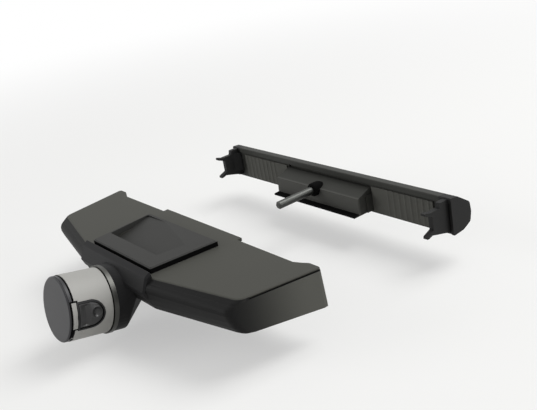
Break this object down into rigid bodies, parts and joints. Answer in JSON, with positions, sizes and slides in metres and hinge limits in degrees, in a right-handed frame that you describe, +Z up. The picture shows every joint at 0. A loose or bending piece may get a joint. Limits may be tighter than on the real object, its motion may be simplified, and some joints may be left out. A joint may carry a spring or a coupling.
{
  "type": "headrest tablet mount",
  "caption": "Headrest clamp for a tablet holder: a rear unit with quick-release socket and release slide, and a ribbed clamp bar on a steel rod.",
  "frame": {"origin": "on the clamp rod's axis, in the plane of the rear unit's two post pads", "axes": "+X along the mount, +Y from the rear unit towards the clamp bar and the front of the car, +Z up the headrest posts"},
  "size_m": [0.2084, 0.2101, 0.0423],
  "materials": {
    "housing_black": "fine moulded grain, satin",
    "lid_charcoal": "fine moulded grain, matte",
    "slide_graphite": "fine moulded grain, satin",
    "arm_graphite": "fine moulded grain, satin",
    "button_charcoal": "satin, dished",
    "cap_graphite": "satin",
    "inner_black": "satin",
    "bar_charcoal": "fine moulded grain, matte",
    "bar_pad": "matte",
    "pad_rubber": "matte",
    "satin_metal": "satin turned",
    "rod_steel": "ground",
    "steel": "zinc plated",
    "spring_steel": "drawn wire",
    "brass": "turned"
  },
  "bodies": {
    "rear_unit": {"lower_housing": "housing_black", "upper_housing": "lid_charcoal", "housing_screws": "steel", "post_pad_left": "pad_rubber", "post_pad_right": "pad_rubber", "rod_guide": "brass", "lock_spring": "spring_steel", "slide_spring_left": "spring_steel", "slide_spring_right": "spring_steel", "socket_arm": "arm_graphite", "arm_screws": "steel", "flange_ring": "satin_metal", "socket_sleeve": "satin_metal", "socket_core": "inner_black", "core_screw": "steel", "button_bezel": "inner_black", "button_spring": "spring_steel"},
    "release_slide": {"release_slide": "slide_graphite", "slide_fork": "steel", "fork_screws": "steel"},
    "lock_plate": {"lock_plate": "steel"},
    "release_button": {"release_button": "button_charcoal", "socket_latch": "steel"},
    "end_cap": {"end_cap": "cap_graphite", "cap_ring": "pad_rubber"},
    "clamp_bar": {"clamp_bar": "bar_charcoal", "bar_pad_left": "bar_pad", "bar_pad_right": "bar_pad", "clamp_rod": "rod_steel", "rod_washer": "steel", "rod_nut": "steel", "rod_cover": "inner_black"}
  },
  "joints": [
    {"name": "bar_slide", "type": "slide", "parent": "rear_unit", "child": "clamp_bar", "axis": [0, -1, 0], "range_m": [0, 0.086]},
    {"name": "slide_pull", "type": "slide", "parent": "rear_unit", "child": "release_slide", "axis": [0, -1, 0], "range_m": [0, 0.002], "stiffness_N_per_m": 600, "springref_m": -0.001, "deforming": ["slide_spring_left", "slide_spring_right"]},
    {"name": "lock_tilt", "type": "hinge", "parent": "rear_unit", "child": "lock_plate", "pos_m": [0, -0.0175, -0.0043], "axis": [1, 0, 0], "range_deg": [0, 12], "deforming": ["lock_spring"]},
    {"name": "button_press", "type": "slide", "parent": "rear_unit", "child": "release_button", "axis": [-1, 0, 0], "range_m": [0, 0.002], "stiffness_N_per_m": 500, "springref_m": -0.001, "deforming": ["button_spring"]},
    {"name": "cap_pull", "type": "slide", "parent": "rear_unit", "child": "end_cap", "axis": [0, -0.9765, 0.2156], "range_m": [0, 0.03]}
  ],
  "couplings": [
    {"joint": "lock_tilt", "follows": "slide_pull", "rad_per_m": 99.65}
  ]
}
